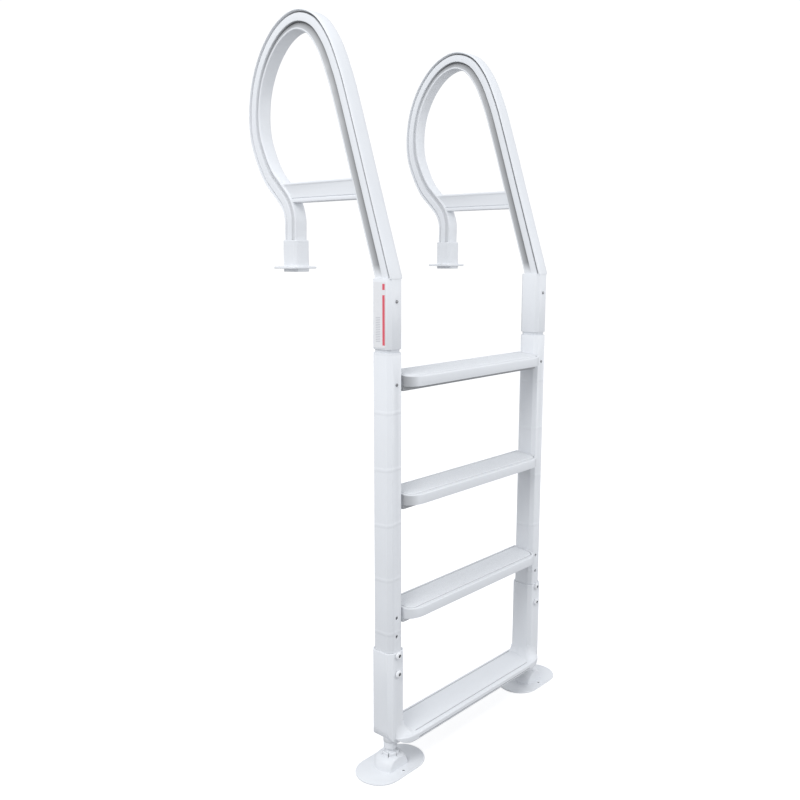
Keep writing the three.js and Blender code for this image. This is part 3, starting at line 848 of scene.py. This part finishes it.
# ---- lower frame ----
SLEEVE_WALL = 3.4
SLEEVE_WIDTH = LEG_WIDTH + 1 + 2 * SLEEVE_WALL
SLEEVE_DEPTH = LEG_DEPTH + 1 + 2 * SLEEVE_WALL
BOTTOM_TOP = FRAME_LOW.z + 17
BOTTOM_RISE = 12
SLEEVE_CORNER = 42
NOSE_SIDE_CORNER = 62
CAVITY_FLOOR = 110
NOSE_END = 330
NOSE_CORNER = (62, 26)
FLARE_TOP = 130
BOSS_RADIUS = 19


def frame_envelope(corner):
    """The frame's front view with rounded bottom corners, as a slab to intersect with."""
    half = SLEEVE_WIDTH / 2 + LEG_X
    outline = []
    for side in (1, -1):
        arc = []
        for k in range(15):
            turn = math.pi / 2 * k / 14
            across = half - corner + corner * math.sin(turn)
            arc.append((side * across, FRAME_LOW.z + corner - corner * math.cos(turn)))
        arc.append((side * half, FRAME_HIGH.z + 10))
        outline += arc if side > 0 else arc[::-1]
    return loft("envelope", [[(px, y, pz) for px, pz in outline] for y in (-600, 200)])


def flare(side):
    """The moulded web that carries the bottom tread's nose into the front of a sleeve."""
    face = LEG_Y - SLEEVE_DEPTH / 2 + 0.5
    reach = face - FRAME_LOW.y - 0.4
    steps = [math.sin(math.pi / 2 * k / 14) for k in range(15)]
    heights = [(FLARE_TOP + (BOTTOM_TOP - 0.6 - FLARE_TOP) * t, 1 - math.sqrt(1 - t * t)) for t in steps]
    loops = []
    for z, ease in heights + [(FRAME_LOW.z, 1)]:
        front = face - reach * ease
        inner = LEG_X - SLEEVE_WIDTH / 2 + 1 - 36 * ease
        bend = NOSE_END - NOSE_CORNER[0]
        loop = [(LEG_X + 20, LEG_Y), (inner, LEG_Y)]
        for k in range(7):
            turn = math.pi / 2 * k / 6
            loop.append((inner + 12 - 12 * math.cos(turn), front + 12 - 12 * math.sin(turn)))
        for k in range(11):
            turn = math.pi / 2 * k / 10
            start = max(bend, inner + 14)
            loop.append((start + (NOSE_END - start) * math.sin(turn), face - (face - front) * math.cos(turn)))
        loop.append((LEG_X + SLEEVE_WIDTH / 2 - 3, face + 14))
        loops.append([(side * px, py, z) for px, py in loop])
    return loft("flare", loops)


def cove(side):
    """The rounded inner corner between a sleeve and the bottom tread's top."""
    face = LEG_X - SLEEVE_WIDTH / 2 + 0.4
    front, back = LEG_Y - SLEEVE_DEPTH / 2 + 3, LEG_Y + SLEEVE_DEPTH / 2 - 4
    loops = []
    for y, radius in ((front, 2), (front + 6, 9), (front + 14, 14), (front + 22, 16), (back, 16)):
        z = BOTTOM_TOP - 0.6 + BOTTOM_RISE * (y - FRAME_LOW.y) / (back - FRAME_LOW.y)
        section = [(face + 6, z - 6), (face + 6, z + radius), (face, z + radius)]
        for k in range(1, 9):
            turn = math.pi / 2 * k / 8
            section.append((face - radius * (1 - math.cos(turn)), z + radius * (1 - math.sin(turn))))
        section.append((face - radius, z - 6))
        loops.append([(side * px, y, pz) for px, pz in section])
    return loft("cove", loops)


def lower_frame():
    back = LEG_Y + SLEEVE_DEPTH / 2
    obj = step_body(
        "lower_frame", BOTTOM_TOP, NOSE_END, FRAME_LOW.y, back - 0.6, NOSE_CORNER, 17, BOTTOM_RISE,
        FRAME_LOW.y + 14,
        LEG_X - SLEEVE_WIDTH / 2 - 10, True)
    join(obj, *[flare(side) for side in (-1, 1)])
    combine(obj, [frame_envelope(NOSE_SIDE_CORNER)], "INTERSECT")
    for side in (-1, 1):
        centre = (side * LEG_X, LEG_Y)
        sleeve = plug("sleeve", SLEEVE_WIDTH, SLEEVE_DEPTH, LEG_CHAMFER + 1, centre, FRAME_LOW.z,
                      FRAME_HIGH.z, 1.6)
        combine(sleeve, [frame_envelope(SLEEVE_CORNER)], "INTERSECT")
        join(obj, sleeve, cove(side))
    join(obj,
         *[rod(BOSS_RADIUS, (side * LEG_X, FOOT_Y, FRAME_LOW.z), (side * LEG_X, FOOT_Y, CAVITY_FLOOR - 2), 48)
           for side in (-1, 1)])
    cutters = []
    for name, side in SIDES.items():
        x = side * LEG_X
        cavity = [at_height(chamfered(LEG_WIDTH + 1, LEG_DEPTH + 1, LEG_CHAMFER, 0, 1.5), (x, LEG_Y), z)
                  for z in (CAVITY_FLOOR, FRAME_HIGH.z + 5)]
        cutters.append(loft("cavity", cavity))
        for place_name in ("lower", "upper"):
            z = middle(f"{name}_{place_name}_frame_bolt").z
            cutters.append(rod(4.5, (x, LEG_Y - 90, z), (x, LEG_Y + 90, z)))
        cutters.append(rod(13.3, (x, FOOT_Y, FRAME_LOW.z - 20), (x, FOOT_Y, BOTTOM_TOP + 4), 48))
    cutters += pockets(3, 2 * LEG_X - SLEEVE_WIDTH - 70, (FRAME_LOW.y + 9, back - 8), (20, BOTTOM_TOP - 5))
    cut(obj, *cutters)

    # Painted shade: the panel groove, the line under the nose's lip and the underside.
    def depth(v):
        groove = panel_groove(v, BOTTOM_TOP, FRAME_LOW.y, back - 0.6, BOTTOM_RISE) * (abs(v.x) < LEG_X - 30)
        straight = abs(v.x) < NOSE_END - NOSE_CORNER[0]
        line = (-13.7 < v.z - BOTTOM_TOP < -12.1) * straight * (v.y < FRAME_LOW.y + 6)
        return max(groove, line * 0.85, (v.z < FRAME_LOW.z + 1) * 0.35)
    shade(obj, depth)
    return smooth(obj)


place(lower_frame(), "lower_frame", "frame_resin", "lower_frame")


# ---- bolts, nuts and screws ----
def along_y(obj, x, y, z, forward):
    """Turns a piece made upright at the origin so that its top points to -Y (forward) or +Y, and moves it."""
    turn = Matrix.Rotation(math.radians(90 if forward else -90), 4, "X")
    obj.data.transform(Matrix.Translation(Vector((x, y, z)) * MM) @ turn)
    return obj


HEX = [(math.cos(math.pi / 3 * i), math.sin(math.pi / 3 * i)) for i in range(6)]
HEX_RECESS = 5.2


def bolt(node):
    low, high = box_mm(node)
    length = high.y - low.y
    radius = (high.x - low.x) / 2 * 1.25
    head = 6.8
    profile = [(0, -length), (3.2, -length), (4, -length + 1), (4, -head)]
    profile += [(radius - 0.4, -head), (radius, -head + 0.5)]
    profile += [(radius, -2.8), (radius - 0.5, -1.3), (radius - 1.8, -0.3), (radius - 3.4, 0), (0, 0)]
    obj = lathe("bolt", profile, (0, 0), 40)
    recess = loft("recess", [[(HEX_RECESS * cx, HEX_RECESS * cy, z) for cx, cy in HEX] for z in (-4.4, 2)])
    cut(obj, recess)

    # Painted shade: inside the hex recess and a dark ring on the head's underside.
    def depth(v):
        hole = -3 * (v.z + 0.2) * (math.hypot(v.x, v.y) < HEX_RECESS + 0.2) * (v.z > -head)
        return max(hole, 0.8 * (-head - 0.1 < v.z < -head + 0.2))
    shade(obj, depth)
    smooth(obj)
    return along_y(obj, (low.x + high.x) / 2, low.y - head + 5, (low.z + high.z) / 2, True)


def nut(node):
    low, high = box_mm(node)
    height = high.y - low.y
    radius = (high.z - low.z) / 2
    def hexagon(scale, z):
        return [(radius * scale * sy, radius * scale * cx, z) for cx, sy in HEX]
    obj = loft("nut", [hexagon(0.94, 0), hexagon(1, 0.8), hexagon(1, height - 1), hexagon(0.9, height)])
    cut(obj, rod(4.3, (0, 0, -5), (0, 0, height + 5)))
    smooth(obj)
    return along_y(obj, (low.x + high.x) / 2, low.y, (low.z + high.z) / 2, False)


def pan_screw(node, forward):
    low, high = box_mm(node)
    length = high.y - low.y
    radius = (high.x - low.x) / 2
    head = radius * 0.52
    shank = radius * 0.52
    profile = [(0, -length), (shank * 0.3, -length), (shank, -length + 2)]
    threads = int((length - 4 - head) / 1.6)
    for k in range(threads):
        z = -length + 2 + k * 1.6
        profile += [(shank * 0.78, z + 0.5), (shank, z + 1.0)]
    profile += [(shank * 0.8, -head), (radius * 0.96, -head), (radius, -head + 0.3)]
    profile += [(radius * 0.96, -head * 0.5), (radius * 0.75, -head * 0.14), (radius * 0.4, 0), (0, 0)]
    obj = lathe("screw", profile, (0, 0), 32)
    arm, slot_half = radius * 0.56, 0.5
    arms = ((arm, slot_half), (slot_half, arm))
    cross = [block((-across, -along, -1.2), (across, along, 2)) for across, along in arms]
    cut(obj, join(*cross))
    smooth(obj)
    return along_y(obj, (low.x + high.x) / 2, low.y if forward else high.y, (low.z + high.z) / 2, forward)


for name in SIDES:
    for height in ("lower", "upper"):
        place(bolt(f"{name}_{height}_frame_bolt"), "lower_frame", "bolt_resin", f"{name}_{height}_frame_bolt")
        place(nut(f"{name}_{height}_frame_nut"), "lower_frame", "bolt_resin", f"{name}_{height}_frame_nut")
    for node, forward in (("handrail_screw", True), ("tread_1_screw", True), ("tread_2_screw", False),
                          ("tread_3_screw", False), ("flange_screw", False)):
        place(pan_screw(f"{name}_{node}", forward), "upper_frame", "screw_steel", f"{name}_{node}")


# ---- feet ----
BALL_Z = 37
BALL_RADIUS = 16


def foot_stem(side):
    profile = [(0, BALL_Z - BALL_RADIUS)]
    top = math.acos(10.5 / BALL_RADIUS)
    for k in range(1, 15):
        turn = -math.pi / 2 + (top + math.pi / 2) * k / 14
        profile.append((BALL_RADIUS * math.cos(turn), BALL_Z + BALL_RADIUS * math.sin(turn)))
    shoulder = FRAME_LOW.z - 0.3
    profile += [(10.5, 51), (12, 51.6), (16.4, 54.2), (17.6, 54.9), (18, 56.2), (18, 66)]
    profile += [(17.3, 66.4), (17.3, 67.6)]
    profile += [(18, 68), (18, shoulder - 0.8), (17.2, shoulder), (13, shoulder), (13, 87), (12, 88), (0, 88)]
    return smooth(lathe("stem", profile, (side * LEG_X, FOOT_Y), 64))


def foot_pad(side):
    x = side * LEG_X
    length = PAD_HIGH.x - PAD_LOW.x
    width = PAD_HIGH.y - PAD_LOW.y
    def stadium(inset, z):
        radius = width / 2 - inset
        reach = (length - width) / 2
        points = []
        for end in (1, -1):
            for k in range(25):
                turn = math.pi * k / 24 - math.pi / 2 + (0 if end > 0 else math.pi)
                px = x + end * reach + radius * math.cos(turn)
                points.append((px, FOOT_Y + radius * math.sin(turn), z))
        return points
    rings = [(2.2, 0), (0.6, 0.3), (0, 1.2), (0, 2.8), (0.5, 3.7), (1.6, 4.2)]
    rings += [(3.2, 4.2), (4.4, 3.8), (6, 3.7)]
    obj = loft("pad", [stadium(inset, z) for inset, z in rings])
    profile = [(0, 0.6), (47, 0.6), (47, 3.8), (46, 4.3), (45.2, 5.6), (45, 8)]
    for k in range(1, 13):
        turn = math.pi / 2 * k / 12
        profile.append((22 + 23 * math.cos(turn), 8 + 28 * math.sin(turn)))
    profile += [(21.6, 37), (21.6, 38.4), (22, 39), (22, 44), (21.2, 45), (0, 45)]
    dome = lathe("dome", profile, (x, FOOT_Y), 72)
    flat = block((x - 100, FOOT_Y - 100, 3.7), (x + 100, FOOT_Y - 31, 100))
    cut(dome, flat)
    join(obj, dome)
    ball = lathe("ball", [(0, BALL_Z - 16.4)] + [
        (16.4 * math.sin(math.pi * k / 24), BALL_Z - 16.4 * math.cos(math.pi * k / 24)) for k in range(1, 24)
    ] + [(0, BALL_Z + 16.4)], (x, FOOT_Y), 48)
    cutters = [ball, rod(3.5, (x, FOOT_Y - 47, -5), (x, FOOT_Y - 47, 20))]
    for i in range(6):
        turn = Matrix.Rotation(math.radians(60 * (i + 0.5)), 4, "Z")
        slot = block((9, -1.25, 35), (37, 1.25, 55))
        slot.data.transform(Matrix.Translation(Vector((x, FOOT_Y, 0)) * MM) @ turn)
        cutters.append(slot)
    cut(obj, *cutters)

    # Painted shade: deeper in the collar's slots and bore, and in the screw hole.
    def depth(v):
        out = math.hypot(v.x - x, v.y - FOOT_Y)
        screw_hole = math.hypot(v.x - x, v.y - FOOT_Y + 47) < 3.8 and v.z < 3
        return max((44 - v.z) / 4 * (out < 21) * (v.z > 10), screw_hole * 1.0)
    shade(obj, depth)
    return smooth(obj)


for name, side in SIDES.items():
    place(foot_stem(side), f"{name}_foot_swivel_body", "foot_resin", f"{name}_foot_stem")
    place(foot_pad(side), f"{name}_foot_body", "foot_resin", f"{name}_foot_pad")


# ---- sticker ----
def sticker():
    low, high = STICKER_LOW, STICKER_HIGH
    centre_y, centre_z = (low.y + high.y) / 2, (low.z + high.z) / 2
    w, h = (high.y - low.y) / 2, (high.z - low.z) / 2
    outline = rounded([(w, -h), (w, h), (-w, h), (-w, -h)], 3, 5)
    faces = [[(x, centre_y + u, centre_z + v) for u, v in outline] for x in (low.x, high.x)]
    return smooth(loft("sticker", faces))


place(sticker(), "upper_frame", "sticker_film", "sticker")


# ---- studio ----
FLOOR_REACH = 9000


def floor():
    corners = [(FLOOR_REACH * sx, FLOOR_REACH * sy, 0) for sx, sy in ((-1, -1), (1, -1), (1, 1), (-1, 1))]
    obj = piece("floor", mesh_from("floor", corners, [(0, 1, 2, 3)]))
    look = Nodes("floor")
    colour = look.blend(look.noise(0.4), (0.42, 0.42, 0.425), (0.44, 0.44, 0.445))
    look.link(colour, look.shader.inputs["Base Color"])
    look.shader.inputs["Roughness"].default_value = 0.9
    bright = look.add("ShaderNodeEmission")
    bright.inputs["Strength"].default_value = 0.72
    both = look.add("ShaderNodeAddShader")
    look.link(look.shader.outputs["BSDF"], both.inputs[0])
    look.link(bright.outputs["Emission"], both.inputs[1])
    seen = look.add("ShaderNodeLightPath").outputs["Is Camera Ray"]
    pick = look.add("ShaderNodeMixShader")
    look.link(seen, pick.inputs["Fac"])
    look.link(look.shader.outputs["BSDF"], pick.inputs[1])
    look.link(both.outputs["Shader"], pick.inputs[2])
    look.link(pick.outputs["Shader"], look.tree.nodes["Material Output"].inputs["Surface"])
    obj.data.materials.append(look.material)


def area_light(name, at, aim, size, power, colour=(1, 1, 1)):
    light = bpy.data.lights.new(name, "AREA")
    light.size = size
    light.energy = power
    light.color = colour
    obj = piece(name, light)
    obj.location = at
    obj.rotation_euler = (Vector(aim) - Vector(at)).to_track_quat("-Z", "Y").to_euler()
    return obj


def studio():
    world = bpy.data.worlds.new("studio")
    world.use_nodes = True
    bpy.context.scene.world = world
    tree = world.node_tree
    background = tree.nodes["Background"]
    background.inputs["Color"].default_value = (0.93, 0.96, 1.0, 1)
    background.inputs["Strength"].default_value = 0.8
    white = tree.nodes.new("ShaderNodeBackground")
    white.inputs["Color"].default_value = (1, 1, 1, 1)
    white.inputs["Strength"].default_value = 1.05
    path = tree.nodes.new("ShaderNodeLightPath")
    pick = tree.nodes.new("ShaderNodeMixShader")
    tree.links.new(path.outputs["Is Camera Ray"], pick.inputs["Fac"])
    tree.links.new(background.outputs["Background"], pick.inputs[1])
    tree.links.new(white.outputs["Background"], pick.inputs[2])
    tree.links.new(pick.outputs["Shader"], tree.nodes["World Output"].inputs["Surface"])
    area_light("key", (-3.6, -0.9, 4.4), (0, 0, 0.9), 2.6, 118)
    area_light("top", (0.3, -0.4, 4.2), (0, 0, 0.6), 2.4, 6)
    area_light("front", (2.2, -2.6, 1.6), (0.3, 0, 0.9), 1.8, 27)


def camera():
    data = bpy.data.cameras.new("camera")
    data.lens = 38.85
    data.sensor_width = 36
    obj = piece("camera", data)
    obj.location = (-1.86706, -1.45004 + LEG_Y * MM, 1.3502)
    obj.rotation_euler = (math.radians(90 - 9.66), 0, math.radians(-47.7))
    bpy.context.scene.camera = obj


bpy.context.scene.view_settings.view_transform = "Standard"
floor()
studio()
camera()
